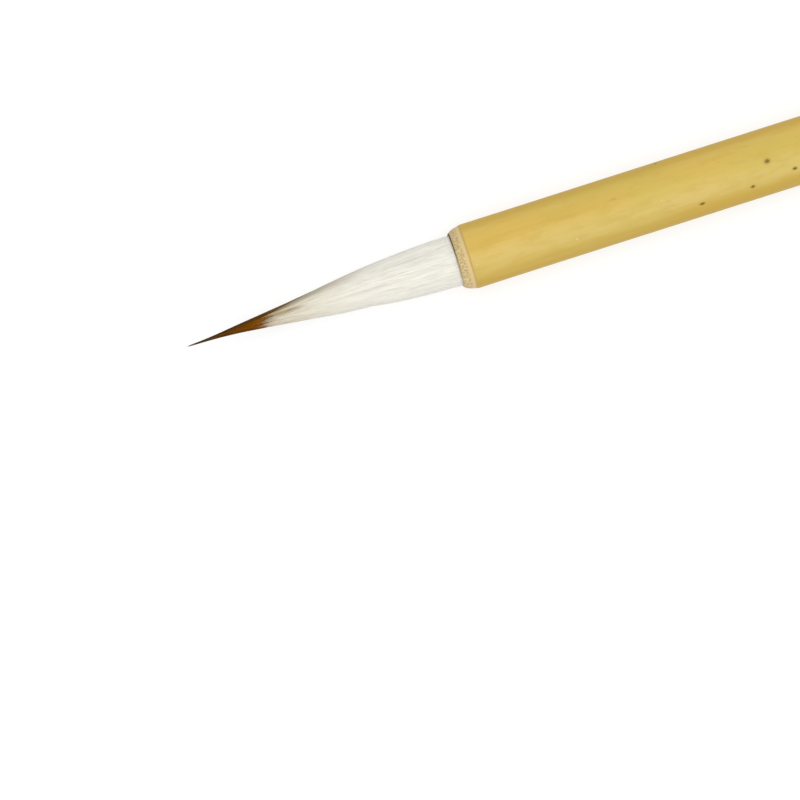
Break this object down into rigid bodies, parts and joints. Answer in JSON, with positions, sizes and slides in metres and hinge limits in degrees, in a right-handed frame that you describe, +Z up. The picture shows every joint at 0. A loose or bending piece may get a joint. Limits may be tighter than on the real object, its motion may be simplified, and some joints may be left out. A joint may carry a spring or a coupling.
{
  "type": "calligraphy brush",
  "caption": "Large calligraphy brush: plain bamboo handle with rounded, dotted ends and a long pointed tuft of white cover hair over a brown core, glued into the mouth.",
  "frame": {"origin": "on the surface that the brush lies on, below the middle of its overall length", "axes": "+X along the brush from the tip of the tuft to the tail of the handle, +Z up"},
  "size_m": [0.245, 0.0116, 0.0115],
  "materials": {
    "bamboo": "smooth semi-gloss skin",
    "plug_wood": "satin",
    "rosin": "satin",
    "thread": "matte",
    "glue": "glossy",
    "bonded_hair": "matte",
    "white_hair": "soft sheen",
    "pale_hair": "soft sheen",
    "brown_hair": "satin"
  },
  "bodies": {
    "handle": {"bamboo_handle": "bamboo", "tail_plug": "plug_wood", "root_seal": "rosin", "binding_thread": "thread", "socket_glue": "glue", "hair_root": "bonded_hair"},
    "tuft": {"cover_hair": "white_hair", "waist_hair": "pale_hair", "belly_hair": "pale_hair", "throat_hair": "brown_hair", "tip_hair": "brown_hair"}
  },
  "joints": [
    {"name": "tuft_bend", "type": "hinge", "parent": "handle", "child": "tuft", "pos_m": [-0.075, 0, 0.00569], "axis": [0, 0, 1], "range_deg": [-50, 50], "stiffness_Nm_per_rad": 0.01}
  ]
}
